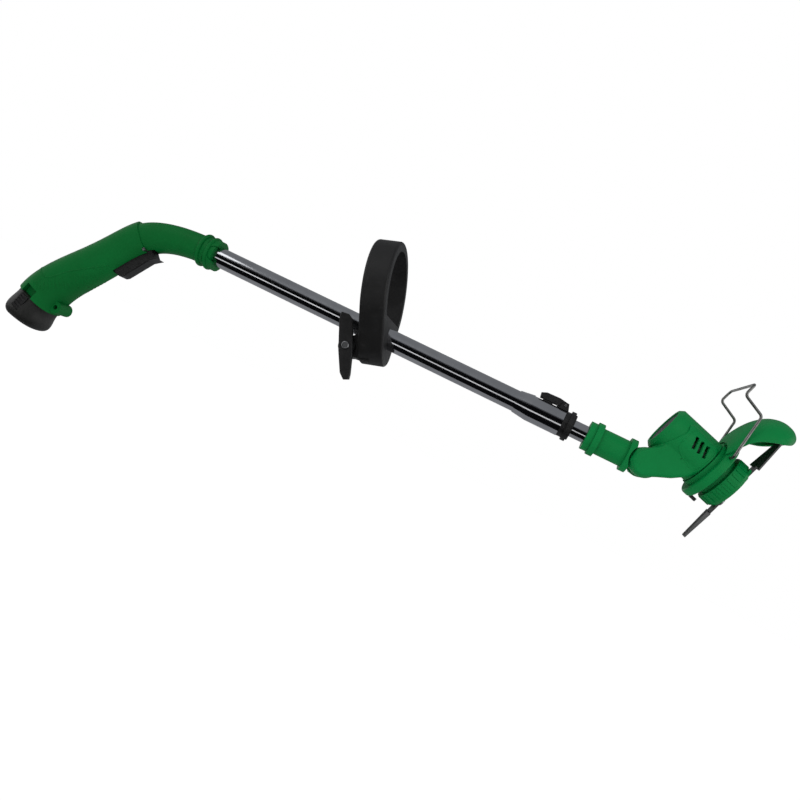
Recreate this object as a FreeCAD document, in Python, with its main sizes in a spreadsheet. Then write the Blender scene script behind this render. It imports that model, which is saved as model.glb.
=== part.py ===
import FreeCAD, Part
import math
import os

# Battery string trimmer. +X runs forward along the pole, +Z is up, +Y is the tool's left.
# The origin is on the pole axis at the front face of the rear handle's collar.

V3 = FreeCAD.Vector
AXIS_X = V3(1, 0, 0)
AXIS_Y = V3(0, 1, 0)
AXIS_Z = V3(0, 0, 1)

doc = FreeCAD.newDocument("trimmer")
sheet = doc.addObject("Spreadsheet::Sheet", "Sizes")

SIZES = [
    # pole
    ("pole_radius", 12.5), ("pole_wall", 1.2), ("pole_start", -58), ("pole_end", 455),
    ("inner_radius", 10), ("inner_wall", 1), ("inner_overlap", 150), ("inner_reach", 40),
    ("slide_gap", 0.05), ("part_gap", 0.3),
    # sleeve and collar at the pole's end
    ("sleeve_radius", 15.5), ("sleeve_start", 408), ("sleeve_taper", 17), ("sleeve_end", 464),
    ("collar_radius", 15), ("collar_flange", 17.5), ("collar_length", 13), ("collar_flange_width", 5),
    ("cam_width", 12), ("cam_length", 34), ("cam_height", 9), ("cam_pin_radius", 1.5),
    # rear handle
    ("handle_wall", 2.6), ("grip_half_width", 18.5), ("grip_half_height", 24), ("bead_radius", 21),
    ("bead_width", 5), ("collar_neck_radius", 18), ("screw_radius", 1.5), ("screw_head_radius", 3),
    ("trigger_width", 17), ("trigger_pin_radius", 2), ("lug_hole_radius", 3), ("switch_length", 20),
    ("switch_height", 10), ("switch_width", 6.4),
    # battery
    ("pack_half_height", 27), ("pack_half_width", 23.5), ("pack_length", 33), ("stem_height", 34),
    ("stem_width", 30), ("stem_length", 40), ("latch_length", 20), ("latch_width", 12),
    ("latch_depth", 5), ("latch_travel", 2),
    # loop handle
    ("loop_place", 226), ("loop_lean", 17), ("loop_top_radius", 62), ("loop_top_height", 50),
    ("loop_foot_radius", 33), ("loop_foot_drop", 5), ("loop_thick", 11), ("loop_width", 30),
    ("ear_back", 34), ("ear_drop", 30), ("ear_radius", 10), ("ear_half_width", 22),
    ("lever_thick", 4.5), ("lever_pin_radius", 4.5), ("lever_width", 17), ("lever_arm", 40),
    # neck and knuckle
    ("neck_start", 494), ("neck_length", 56), ("neck_radius", 15.5), ("neck_bead", 19.5),
    ("neck_bead_width", 7), ("pivot_place", 562), ("knuckle_radius", 14), ("tongue_width", 14),
    ("pivot_radius", 4), ("head_tilt", 18.5), ("lobe_radius", 17), ("lobe_half_width", 17),
    # head
    ("motor_axis", 45), ("barrel_radius", 27.5), ("barrel_back", -12), ("barrel_front", 44),
    ("head_wall", 2.5), ("motor_radius", 21), ("motor_length", 44), ("shaft_radius", 2.5),
    ("cap_radius", 21), ("cap_depth", 4), ("base_radius", 25), ("flange_radius", 37.5),
    ("flange_back", 50), ("flange_front", 60), ("bearing_radius", 8), ("bearing_width", 6),
    # cutting set
    ("cup_radius", 29), ("cup_back", 62), ("cup_front", 84), ("cup_wall", 2.5), ("groove_radius", 24),
    ("cup_ribs", 24), ("blade_tip", 72), ("blade_root_width", 13), ("blade_tip_width", 6),
    ("blade_thick", 2.4), ("blade_pitch", 35), ("blade_pivot", 17), ("blade_pin_radius", 2.2),
    ("blade_twist_place", 34),
    # guard and wire guide
    ("guard_radius", 87), ("guard_thick", 2.5), ("guard_half_angle", 40), ("guard_front", 94),
    ("wire_radius", 1.5), ("wire_half_width", 43), ("wire_pivot_front", 54), ("wire_pivot_up", 62),
]
for row, (name, value) in enumerate(SIZES, start=1):
    sheet.set("A%d" % row, name)
    sheet.set("B%d" % row, str(value))
    sheet.setAlias("B%d" % row, name)
doc.recompute()
size = {name: float(value) for name, value in SIZES}
finished = []


def keep(item, label, placement=None):
    """Give a finished sub-part its name and put it on the export list."""
    item.Label = label
    if placement is not None:
        item.Placement = placement.multiply(item.Placement)
    finished.append(item)
    return item


def bind(item, **sizes):
    """Tie an object's properties to expressions on the sheet's names."""
    for prop, text in sizes.items():
        words = text
        for name in sorted(size, key=len, reverse=True):
            words = words.replace(name, "\0%d\0" % list(size).index(name))
        for index, name in enumerate(size):
            words = words.replace("\0%d\0" % index, "Sizes." + name)
        item.setExpression(prop.replace("_at_", ".Base."), words)
    return item


def rod(name, radius, length, x="0", y="0", z="0", along="X"):
    """A cylinder from (x, y, z) along an axis, with every size an expression."""
    item = doc.addObject("Part::Cylinder", name)
    turn = {"X": (AXIS_Y, 90), "Y": (AXIS_X, -90), "Z": (AXIS_Z, 0)}[along]
    item.Placement = FreeCAD.Placement(V3(), FreeCAD.Rotation(*turn))
    return bind(item, Radius=radius, Height=length, Placement_at_x=x, Placement_at_y=y, Placement_at_z=z)


def brick(name, length, width, height, x, y, z):
    """A box with its low corner at (x, y, z)."""
    item = doc.addObject("Part::Box", name)
    return bind(item, Length=length, Width=width, Height=height,
                Placement_at_x=x, Placement_at_y=y, Placement_at_z=z)


def taper(name, radius_one, radius_two, length, x, z="0"):
    """A cone frustum along X."""
    item = doc.addObject("Part::Cone", name)
    item.Placement = FreeCAD.Placement(V3(), FreeCAD.Rotation(AXIS_Y, 90))
    return bind(item, Radius1=radius_one, Radius2=radius_two, Height=length,
                Placement_at_x=x, Placement_at_z=z)


def fuse(name, pieces):
    item = doc.addObject("Part::MultiFuse", name)
    item.Shapes = pieces
    return item


def cut(name, base, tool):
    item = doc.addObject("Part::Cut", name)
    item.Base = base
    item.Tool = tool
    return item


def group(name, pieces):
    item = doc.addObject("Part::Compound", name)
    item.Links = pieces
    return item


def direct(name, shape):
    """An object that holds a shape built with Part's own functions."""
    item = doc.addObject("Part::Feature", name)
    item.Shape = shape
    return item


def section(x, z, angle, half_height, half_width, power=2.5, count=20):
    """A rounded closed outline, square to a direction at an angle to X in the XZ plane."""
    lean = math.radians(angle)
    points = []
    for i in range(count):
        turn = 2 * math.pi * i / count
        across = math.copysign(abs(math.cos(turn)) ** (2 / power), math.cos(turn)) * half_height
        side = math.copysign(abs(math.sin(turn)) ** (2 / power), math.sin(turn)) * half_width
        points.append(V3(x - math.sin(lean) * across, side, z + math.cos(lean) * across))
    curve = Part.BSplineCurve()
    curve.interpolate(points, PeriodicFlag=True)
    return Part.Wire([curve.toShape()])


def loft(stations, shrink=0.0):
    """A solid through outlines (x, z, angle, half height, half width), each made smaller by shrink."""
    wires = [section(x, z, angle, high - shrink, wide - shrink) for x, z, angle, high, wide in stations]
    return Part.makeLoft(wires, True, False)


def pin_shape(radius, start, end, direction=AXIS_X):
    """A round bar from a point over a length."""
    return Part.makeCylinder(radius, end, start, direction)


def outline_solid(points, width, y):
    """A flat shape in the XZ plane, pushed along +Y from y over a width."""
    corners = [V3(x, y, z) for x, z in points]
    face = Part.Face(Part.makePolygon(corners + corners[:1]))
    return face.extrude(AXIS_Y * width)


def half(shape, side):
    """The part of a shape on one side of the middle plane."""
    room = 400
    low = V3(shape.BoundBox.XMin - 5, 0 if side > 0 else -room, shape.BoundBox.ZMin - 5)
    length = shape.BoundBox.XLength + 10
    height = shape.BoundBox.ZLength + 10
    return shape.common(Part.makeBox(length, room, height, low))


def checked(items):
    for item in items:
        if "Invalid" in item.State or "Error" in item.State:
            raise RuntimeError("failed: " + item.Label)


# ---------------------------------------------------------------- pole

outer_tube = cut("OuterTube",
                 rod("TubeOutside", "pole_radius", "pole_end - pole_start", x="pole_start"),
                 rod("TubeInside", "pole_radius - pole_wall", "pole_end - pole_start", x="pole_start"))
keep(outer_tube, "outer_tube")

sleeve_skin = fuse("SleeveSkin", [
    taper("SleeveTaper", "pole_radius + 0.8", "sleeve_radius", "sleeve_taper", "sleeve_start"),
    rod("SleeveBody", "sleeve_radius", "sleeve_end - sleeve_start - sleeve_taper",
        x="sleeve_start + sleeve_taper")])
sleeve_slot = brick("SleeveSlot", "cam_length - 8", "cam_width + 2 * part_gap", "12",
                    "sleeve_start + sleeve_taper", "-cam_width / 2 - part_gap", "pole_radius - 2")
sleeve_bore = rod("SleeveBore", "pole_radius + slide_gap", "sleeve_end - sleeve_start", x="sleeve_start")
keep(cut("LockSleeve", sleeve_skin, fuse("SleeveCuts", [sleeve_bore, sleeve_slot])), "lock_sleeve")

collar_body = fuse("CollarBody", [
    rod("CollarBarrel", "collar_radius", "collar_length", x="sleeve_end"),
    rod("CollarFlange", "collar_flange", "collar_flange_width",
        x="sleeve_end + collar_length - collar_flange_width - 2")])
collar_bore = rod("CollarBore", "inner_radius + slide_gap", "collar_length", x="sleeve_end")
keep(cut("EndCollar", collar_body, collar_bore), "end_collar")

guide_bush = cut("GuideBush",
                 rod("BushOutside", "pole_radius - pole_wall - 0.02", "sleeve_end - pole_end", x="pole_end"),
                 rod("BushInside", "inner_radius + slide_gap", "sleeve_end - pole_end", x="pole_end"))
keep(guide_bush, "guide_bush")

inner_tube = cut("InnerTube",
                 rod("InnerOutside", "inner_radius", "neck_start + inner_reach - pole_end + inner_overlap",
                     x="pole_end - inner_overlap"),
                 rod("InnerInside", "inner_radius - inner_wall",
                     "neck_start + inner_reach - pole_end + inner_overlap", x="pole_end - inner_overlap"))
keep(inner_tube, "inner_tube")

inner_stop = cut("InnerStop",
                 rod("StopOutside", "pole_radius - pole_wall - slide_gap", "8",
                     x="pole_end - inner_overlap - 8"),
                 rod("StopInside", "inner_radius - inner_wall", "8", x="pole_end - inner_overlap - 8"))
keep(inner_stop, "inner_stop")

# The cam lever lies on the sleeve with its pivot at the front.
pin_gap = 0.04
cam_base = size["pole_radius"] + size["part_gap"]
cam_x = size["sleeve_start"] + size["sleeve_taper"] + 4
cam_top = size["sleeve_radius"] + size["cam_height"]
cam_front = cam_x + size["cam_length"]
cam_nose = 3.6
cam_pivot = V3(cam_front - cam_nose, 0, size["sleeve_radius"] + cam_nose + 0.4)
cam_profile = [(cam_x + 1, size["sleeve_radius"] + 0.4), (cam_pivot.x, cam_pivot.z - cam_nose),
               (cam_pivot.x, cam_pivot.z + cam_nose), (cam_front - 12, cam_top), (cam_x + 6, cam_top - 0.5),
               (cam_x, cam_top - 3)]
cam_corners = [V3(x, -size["cam_width"] / 2, z) for x, z in cam_profile[2:] + cam_profile[:2]]
cam_tip = V3(cam_front, -size["cam_width"] / 2, cam_pivot.z)
cam_line = Part.makePolygon(cam_corners).Edges + [Part.Arc(cam_corners[-1], cam_tip, cam_corners[0]).toShape()]
cam_shape = Part.Face(Part.Wire(cam_line)).extrude(AXIS_Y * size["cam_width"])
cam_shape = cam_shape.makeFillet(1, [e for e in cam_shape.Edges if e.BoundBox.YLength < 0.1])
cam_shape = cam_shape.fuse(Part.makeBox(12, size["cam_width"] - 2, 4.2,
                                        V3(cam_x + 5, 1 - size["cam_width"] / 2, cam_base)))
cam_hole = pin_shape(size["cam_pin_radius"] + 0.05, cam_pivot + V3(0, -20, 0), 40, AXIS_Y)
keep(direct("CamLever", cam_shape.cut(cam_hole)), "lock_lever")

cheek_y = size["cam_width"] / 2 + size["part_gap"]
cheek_points = [(cam_pivot.x - 6, size["sleeve_radius"] - 1.5), (cam_pivot.x + 6, size["sleeve_radius"] - 1.5),
                (cam_pivot.x + 3, cam_pivot.z + 3), (cam_pivot.x - 3, cam_pivot.z + 3)]
cheeks = outline_solid(cheek_points, 2, cheek_y).fuse(outline_solid(cheek_points, 2, -cheek_y - 2))
sleeve_round = pin_shape(size["sleeve_radius"] + pin_gap, V3(cam_pivot.x - 20, 0, 0), 40)
cheeks = cheeks.cut(sleeve_round)
cheeks = cheeks.cut(pin_shape(size["cam_pin_radius"] + pin_gap, cam_pivot + V3(0, -20, 0), 40, AXIS_Y))
keep(direct("CamBracket", cheeks), "lever_bracket")
keep(direct("CamPin", pin_shape(size["cam_pin_radius"], cam_pivot + V3(0, -cheek_y - 2.5, 0),
                                2 * cheek_y + 5, AXIS_Y)), "lever_pin")

# ---------------------------------------------------------------- rear handle

slide = size["slide_gap"]
high = size["grip_half_height"]
wide = size["grip_half_width"]
neck_round = size["collar_neck_radius"] - 0.8
rear_angle = 72.0
rear_axis = V3(math.cos(math.radians(rear_angle)), 0, math.sin(math.radians(rear_angle)))
rear_across = V3(-rear_axis.z, 0, rear_axis.x)
rear_centre = V3(-197, 0, -152)
grip_stations = [
    (rear_centre.x, rear_centre.z, rear_angle, high + 4.5, wide + 7),
    (-188, -129, 65, high + 3.5, wide + 5.5),
    (-169, -102, 54, high + 2, wide + 2.5),
    (-148, -77, 50, high + 0.8, wide + 0.5),
    (-124, -46, 48, high - 0.5, wide),
    (-101, -20, 44, high - 1, wide),
]
neck_stations = [
    (-110, -29, 46, high - 4, wide - 2),
    (-84, -11, 29, high - 5, wide - 1),
    (-62, -4.5, 13, neck_round + 0.6, wide - 1.5),
    (-38, -1, 3, neck_round, neck_round),
    (-14, 0, 0, neck_round, neck_round),
]
grip_outside = loft(grip_stations)
neck_outside = loft(neck_stations)
outside = grip_outside.fuse(neck_outside)

collar_start = -26
outside = outside.fuse(pin_shape(size["collar_neck_radius"], V3(collar_start, 0, 0), -collar_start - 2))
for bead_x in (-22, -11):
    ring = Part.makeTorus(size["bead_radius"] - size["bead_width"] / 2, size["bead_width"] / 2,
                          V3(bead_x + 1, 0, 0), AXIS_X)
    plate = pin_shape(size["bead_radius"] - size["bead_width"] / 2,
                      V3(bead_x + 1 - size["bead_width"] / 2, 0, 0), size["bead_width"])
    outside = outside.fuse(ring.fuse(plate))
lips = pin_shape(size["collar_neck_radius"] + 1, V3(-9, 0, 0), 9)
notch = Part.makeCylinder(9.5, 60, V3(0, -30, 0), AXIS_Y)
outside = outside.fuse(lips.cut(notch))

lug_half = 12
lug_centre = rear_centre - rear_across * (high + 6) + rear_axis * 12
lug = pin_shape(8, lug_centre - AXIS_Y * lug_half, 2 * lug_half, AXIS_Y)
outside = outside.fuse(lug)

wall = size["handle_wall"]
hollow = loft([(x, z, angle, h, w) for x, z, angle, h, w in grip_stations[1:]], wall)
hollow = hollow.fuse(loft(neck_stations[:3], wall))
stem_frame = FreeCAD.Placement(rear_centre, FreeCAD.Rotation(AXIS_Y, -rear_angle))
stem_gap = size["part_gap"]
socket = Part.makeBox(size["stem_length"] + 14.3, size["stem_width"] + 2 * stem_gap,
                      size["stem_height"] + 2 * stem_gap,
                      V3(-4, -size["stem_width"] / 2 - stem_gap, -size["stem_height"] / 2 - stem_gap))
socket.Placement = stem_frame
tube_bore = pin_shape(size["pole_radius"] + slide, V3(size["pole_start"], 0, 0), 80 - size["pole_start"])
hollow = hollow.fuse(socket).fuse(tube_bore)

# trigger, in the grip's own direction
grip_angle = 50.0
grip_axis = V3(math.cos(math.radians(grip_angle)), 0, math.sin(math.radians(grip_angle)))
grip_down = V3(grip_axis.z, 0, -grip_axis.x)
trigger_base = V3(-99, 0, -52)


def on_grip(along, down):
    place = trigger_base + grip_axis * along + grip_down * down
    return (place.x, place.z)


trigger_points = [(-27, -6), (26, -9), (28, -2), (27, 8), (31, 12.5), (26, 11), (20, 9.5),
                  (-18, 13), (-24, 11), (-27.5, 5)]
slot_points = [(-29, -14), (30, -14), (33, 14), (-31, 16)]
trigger_half = size["trigger_width"] / 2
trigger_pin_at = V3(on_grip(21, -4)[0], 0, on_grip(21, -4)[1])
trigger_shape = outline_solid([on_grip(*p) for p in trigger_points], size["trigger_width"], -trigger_half)
long_edges = [e for e in trigger_shape.Edges if abs(e.tangentAt(e.FirstParameter).y) < 0.1 and e.Length > 12]
trigger_shape = trigger_shape.makeFillet(1.6, long_edges)
trigger_shape = trigger_shape.cut(pin_shape(size["trigger_pin_radius"] + 0.05,
                                            trigger_pin_at + V3(0, -20, 0), 40, AXIS_Y))
keep(direct("Trigger", trigger_shape), "trigger")
trigger_slot = outline_solid([on_grip(*p) for p in slot_points], size["trigger_width"] + 2 * stem_gap,
                             -trigger_half - stem_gap)

# screw posts run across the two shells
posts = [V3(-171, 0, -90), V3(-140, 0, -52), V3(-87, 0, 1.5), V3(-66, 0, -16)]
post_shape = None
for post in posts:
    bar = pin_shape(size["screw_radius"] + 2.5, post + V3(0, -40, 0), 80, AXIS_Y)
    post_shape = bar if post_shape is None else post_shape.fuse(bar)
pin_post = pin_shape(size["trigger_pin_radius"] + 2.5, trigger_pin_at + V3(0, -40, 0), 80, AXIS_Y)
post_shape = post_shape.fuse(pin_post).common(outside)
room = Part.makeBox(200, size["trigger_width"] + 2 * stem_gap, 200,
                    V3(-260, -trigger_half - stem_gap, -200))
pin_room = pin_shape(size["trigger_pin_radius"] + 2.6,
                     trigger_pin_at + V3(0, -trigger_half - stem_gap, 0),
                     size["trigger_width"] + 2 * stem_gap, AXIS_Y)

# the switch sits behind the trigger's rear end, held at its sides by a rib from each shell
switch_frame = FreeCAD.Placement(V3(on_grip(-12, -15)[0], 0, on_grip(-12, -15)[1]),
                                 FreeCAD.Rotation(AXIS_Y, -grip_angle))
cradle = Part.makeBox(8, 80, 6, V3(-4, -40, 2))
switch_room = Part.makeBox(size["switch_length"], size["switch_width"] + 2 * pin_gap, 20,
                           V3(-size["switch_length"] / 2, -size["switch_width"] / 2 - pin_gap, -5))
cradle = cradle.cut(switch_room)
cradle.Placement = switch_frame
cradle = cradle.common(outside)

casing = outside.cut(hollow).fuse(post_shape).fuse(cradle)
casing = casing.cut(trigger_slot).cut(pin_room).cut(socket).cut(tube_bore)
casing = casing.cut(pin_shape(size["trigger_pin_radius"] + pin_gap, trigger_pin_at + V3(0, -wide + 3, 0),
                              2 * wide - 6, AXIS_Y))
casing = casing.cut(pin_shape(size["lug_hole_radius"], lug_centre - AXIS_Y * 30, 60, AXIS_Y))

# latch windows at the rear edge, one on each side
latch_at = rear_centre + rear_across * 4
window = Part.makeBox(size["latch_length"] / 2 + 3 + stem_gap, 60, size["latch_width"] + 6,
                      V3(0, -30, -size["latch_width"] / 2 - 3))
window.Placement = FreeCAD.Placement(latch_at - rear_axis * 1, FreeCAD.Rotation(AXIS_Y, -rear_angle))
side_skin = Part.makeBox(200, size["stem_width"] + 4, 200, V3(-300, -size["stem_width"] / 2 - 2, -250))
casing = casing.cut(window.cut(side_skin))

screw_holes = None
screw_list = []
for post in posts:
    hole = pin_shape(size["screw_radius"] + pin_gap, post + V3(0, -wide + 5, 0), 2 * wide - 5, AXIS_Y)
    head = pin_shape(size["screw_head_radius"] + 0.2, post + V3(0, wide - 5, 0), 20, AXIS_Y)
    screw_holes = hole.fuse(head) if screw_holes is None else screw_holes.fuse(hole).fuse(head)
    shank = pin_shape(size["screw_radius"], post + V3(0, -wide + 5, 0), 2 * wide - 10, AXIS_Y)
    cap = pin_shape(size["screw_head_radius"], post + V3(0, wide - 5, 0), 2.2, AXIS_Y)
    cross = Part.makeBox(4, 1.2, 0.9, V3(post.x - 2, wide - 4, post.z - 0.45))
    cross = cross.fuse(Part.makeBox(0.9, 1.2, 4, V3(post.x - 0.45, wide - 4, post.z - 2)))
    screw_list.append(shank.fuse(cap).cut(cross).removeSplitter())
casing = casing.cut(screw_holes)
keep(direct("HandleRight", half(casing, -1)), "handle_shell_right")
keep(direct("HandleLeft", half(casing, 1)), "handle_shell_left")
keep(direct("HandleScrews", Part.makeCompound(screw_list)), "handle_screws")
keep(direct("TriggerPin", pin_shape(size["trigger_pin_radius"], trigger_pin_at + V3(0, -wide + 3, 0),
                                    2 * wide - 6, AXIS_Y)), "trigger_pin")

# the switch's plunger faces the trigger
switch_body = brick("SwitchBody", "switch_length", "switch_width", "switch_height",
                    "-switch_length / 2", "-switch_width / 2", "0")
switch_knob = brick("SwitchKnob", "3", "3", "3.5", "-1.5", "-1.5", "-3.5")
keep(fuse("PowerSwitch", [switch_body, switch_knob]), "power_switch", switch_frame)

# contact block that the battery's stem plugs on to
block_place = FreeCAD.Placement(rear_centre + rear_axis * (size["stem_length"] + 2),
                                FreeCAD.Rotation(AXIS_Y, -rear_angle))
block = brick("ContactBlock", "8", "stem_width - 2", "stem_height - 4", "0", "1 - stem_width / 2",
              "2 - stem_height / 2")
blades_of_block = [brick("ContactBlade%d" % i, "6", "0.8", "8", "-6", "%d" % y, "-4")
                   for i, y in enumerate((-8, -2, 4))]
keep(fuse("ContactSet", [block] + blades_of_block), "contact_block", block_place)

# ---------------------------------------------------------------- battery

pack_face = rear_centre - rear_axis * stem_gap
pack_stations = []
for back, angle, less in ((0, 0, 0), (12, 2, -0.6), (size["pack_length"] - 3, 7, 0),
                          (size["pack_length"], 8, 3)):
    spot = pack_face - rear_axis * back - rear_across * (0.06 * back)
    pack_stations.append((spot.x, spot.z, rear_angle + angle, size["pack_half_height"] - less,
                          size["pack_half_width"] - less))
pack = loft(pack_stations)
stem = Part.makeBox(size["stem_length"], size["stem_width"], size["stem_height"],
                    V3(-1.5, -size["stem_width"] / 2, -size["stem_height"] / 2))
stem = stem.makeFillet(5, [e for e in stem.Edges if abs(e.tangentAt(e.FirstParameter).x) > 0.9])
for y in (-8, -2, 4):
    stem = stem.cut(Part.makeBox(9, 1.4, 9, V3(size["stem_length"] - 9, y - 0.3, -4.5)))
stem.Placement = stem_frame
pocket_y = size["pack_half_width"] - size["latch_depth"] - size["latch_travel"]
pocket = Part.makeBox(size["latch_length"] + 0.6, 20, size["latch_width"] + 0.6,
                      V3(-size["latch_length"] / 2 - 0.3, 0, -size["latch_width"] / 2 - 0.3))
latch_centre = latch_at - rear_axis * (size["latch_length"] / 2 + 2)
pockets = []
for side in (-1, 1):
    spot = pocket.copy()
    base = latch_centre + V3(0, pocket_y if side > 0 else -pocket_y - 20, 0)
    spot.Placement = FreeCAD.Placement(base, FreeCAD.Rotation(AXIS_Y, -rear_angle))
    pockets.append(spot)
pack = pack.fuse(stem).cut(pockets[0]).cut(pockets[1])
keep(direct("BatteryPack", pack), "battery_pack")

for side, label in ((-1, "latch_right"), (1, "latch_left")):
    depth = size["latch_depth"] + 0.8
    pad = Part.makeBox(size["latch_length"], depth, size["latch_width"],
                       V3(-size["latch_length"] / 2, 0, -size["latch_width"] / 2))
    pad = pad.makeFillet(1, [e for e in pad.Edges if abs(e.tangentAt(e.FirstParameter).y) > 0.9])
    for i in range(4):
        rib_x = -size["latch_length"] / 2 + 3.2 + i * 4.2
        low_y = depth - 0.8 if side > 0 else -0.2
        pad = pad.cut(Part.makeBox(1.6, 1, size["latch_width"] - 3,
                                   V3(rib_x, low_y, 1.5 - size["latch_width"] / 2)))
    start_y = pocket_y + size["latch_travel"]
    base = latch_centre + V3(0, start_y if side > 0 else -start_y - depth, 0)
    keep(direct("Latch" + label, pad), label,
         FreeCAD.Placement(base, FreeCAD.Rotation(AXIS_Y, -rear_angle)))

# ---------------------------------------------------------------- loop handle

loop_frame = FreeCAD.Placement(V3(size["loop_place"], 0, 0), FreeCAD.Rotation(AXIS_Y, -size["loop_lean"]))


def egg(less):
    """The loop's outline in its own YZ plane: a round top, straight sides and a round foot."""
    top_radius = size["loop_top_radius"] - less
    foot_radius = size["loop_foot_radius"] - less
    top_z = size["loop_top_height"]
    foot_z = -size["loop_foot_drop"]
    lean = math.asin((top_radius - foot_radius) / (top_z - foot_z))
    side_y, side_z = math.cos(lean), -math.sin(lean)
    top_right = V3(0, top_radius * side_y, top_z + top_radius * side_z)
    foot_right = V3(0, foot_radius * side_y, foot_z + foot_radius * side_z)
    top_left = V3(0, -top_right.y, top_right.z)
    foot_left = V3(0, -foot_right.y, foot_right.z)
    edges = [Part.Arc(top_right, V3(0, 0, top_z + top_radius), top_left).toShape(),
             Part.LineSegment(top_left, foot_left).toShape(),
             Part.Arc(foot_left, V3(0, 0, foot_z - foot_radius), foot_right).toShape(),
             Part.LineSegment(foot_right, top_right).toShape()]
    return Part.Face(Part.Wire(edges))


loop_half = size["loop_width"] / 2
band = egg(0).extrude(AXIS_X * size["loop_width"])
band = band.makeFillet(3, [e for e in band.Edges if abs(e.BoundBox.XLength) < 0.1])
window_face = egg(size["loop_thick"]).extrude(AXIS_X * (size["loop_width"] + 2))
window_face.translate(V3(-1, 0, 0))
foot_top = size["pole_radius"] + 5
foot_keep = Part.makeBox(size["loop_width"] + 4, 200, 200, V3(-2, -100, -200 + foot_top))
band = band.cut(window_face.cut(foot_keep))
band.translate(V3(-loop_half, 0, 0))
band.Placement = loop_frame.multiply(band.Placement)
ear_at = V3(size["loop_place"] + 12 - size["ear_back"], 0, -size["ear_drop"])
ear = Part.makeCylinder(size["ear_radius"], 2 * size["ear_half_width"],
                        ear_at - V3(0, size["ear_half_width"], 0), AXIS_Y)
bridge_points = [(ear_at.x - 4, ear_at.z + 9), (ear_at.x - 2, ear_at.z - 9.6),
                 (size["loop_place"] + 8, ear_at.z - 6), (size["loop_place"] + 4, -5),
                 (ear_at.x + 8, -6)]
bridge = outline_solid(bridge_points, 2 * size["ear_half_width"] - 12, 6 - size["ear_half_width"])
loop_shape = band.fuse(ear).fuse(bridge)
loop_shape = loop_shape.cut(pin_shape(size["pole_radius"] + slide, V3(100, 0, 0), 250))
pin_bore = pin_shape(size["lever_pin_radius"] - 1.5 + pin_gap, ear_at + V3(0, -40, 0), 80, AXIS_Y)
loop_shape = loop_shape.cut(pin_bore).removeSplitter()
keep(direct("LoopHandle", loop_shape), "loop_handle")

plate_y = size["ear_half_width"] + size["part_gap"]
lever_dir = V3(0.43, 0, -0.90)
lever_side = V3(0.90, 0, 0.43)


def on_lever(along, aside):
    place = ear_at + lever_dir * along + lever_side * aside
    return (place.x, place.z)


arm = size["lever_arm"]
lever_half = size["lever_width"] / 2
lever_points = [(-arm, -6), (-arm + 3, 3), (-arm + 9, 7.5), (-8, lever_half), (8, lever_half),
                (arm - 6, 6.5), (arm, 5), (arm, -2), (arm - 8, -6), (6, -lever_half), (-6, -lever_half),
                (-arm + 8, -8.5)]
lever = outline_solid([on_lever(*p) for p in lever_points], size["lever_thick"],
                      -plate_y - size["lever_thick"])
lever = lever.makeFillet(1.2, [e for e in lever.Edges
                               if e.BoundBox.YLength < 0.1 and e.BoundBox.YMin < -plate_y - 1])
lever = lever.cut(pin_shape(size["lever_pin_radius"] - 1.45, ear_at + V3(0, -60, 0), 80, AXIS_Y))
keep(direct("ClampLever", lever), "clamp_lever")
bolt_start = ear_at + V3(0, -plate_y - size["lever_thick"] - stem_gap - 2, 0)
bolt = pin_shape(size["lever_pin_radius"], bolt_start, 2, AXIS_Y)
bolt = bolt.makeFillet(1, [e for e in bolt.Edges if e.BoundBox.YMax < bolt_start.y + 0.1])
bolt = bolt.fuse(pin_shape(size["lever_pin_radius"] - 1.5, bolt_start,
                           plate_y + size["lever_thick"] + stem_gap + 2 + size["ear_half_width"] + 7, AXIS_Y))
keep(direct("ClampBolt", bolt.removeSplitter()), "clamp_bolt")
nut_y = size["ear_half_width"]
hexagon = [V3(ear_at.x + 6 * math.cos(math.radians(60 * i)), nut_y,
              ear_at.z + 6 * math.sin(math.radians(60 * i))) for i in range(7)]
nut = Part.Face(Part.makePolygon(hexagon)).extrude(AXIS_Y * 5)
nut = nut.cut(pin_shape(size["lever_pin_radius"] - 1.5 + pin_gap, ear_at, 60, AXIS_Y))
keep(direct("ClampNut", nut), "clamp_nut")

# ---------------------------------------------------------------- neck

neck_skin = fuse("NeckSkin", [
    rod("NeckBody", "neck_radius", "neck_length - 2", x="neck_start"),
    rod("NeckMouth", "neck_radius + 1.5", "8", x="neck_start"),
    rod("NeckBeadRear", "neck_bead", "neck_bead_width", x="neck_start + 8"),
    rod("NeckBeadFront", "neck_bead", "neck_bead_width", x="neck_start + neck_length - neck_bead_width - 2"),
])
neck_tongue = fuse("NeckTongue", [
    brick("TongueBar", "pivot_place - neck_start - neck_length + 6", "tongue_width", "2 * knuckle_radius - 4",
          "neck_start + neck_length - 6", "-tongue_width / 2", "2 - knuckle_radius"),
    rod("TongueRound", "knuckle_radius", "tongue_width", x="pivot_place", y="-tongue_width / 2", along="Y")])
tongue_slots = cut("LobeRoom", rod("LobeSweep", "lobe_radius + 1", "2 * neck_bead + 4", x="pivot_place",
                                   y="-neck_bead - 2", along="Y"),
                   brick("LobeCore", "60", "tongue_width", "60", "pivot_place - 30", "-tongue_width / 2",
                         "-30"))
neck_bore = rod("NeckBore", "inner_radius + slide_gap", "inner_reach + 1", x="neck_start")
neck_pivot = rod("NeckPivotHole", "pivot_radius + 0.05", "tongue_width + 2", x="pivot_place",
                 y="-tongue_width / 2 - 1", along="Y")
keep(cut("NeckCollar", fuse("NeckSolid", [neck_skin, neck_tongue]),
         fuse("NeckCuts", [tongue_slots, neck_bore, neck_pivot])), "neck_collar")
neck_clip = cut("NeckClip", rod("ClipOutside", "inner_radius - inner_wall - 0.06", "3",
                                x="neck_start + inner_reach - 6"),
                rod("ClipInside", "inner_radius - inner_wall - 2", "3", x="neck_start + inner_reach - 6"))
keep(neck_clip, "tube_plug")

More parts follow.
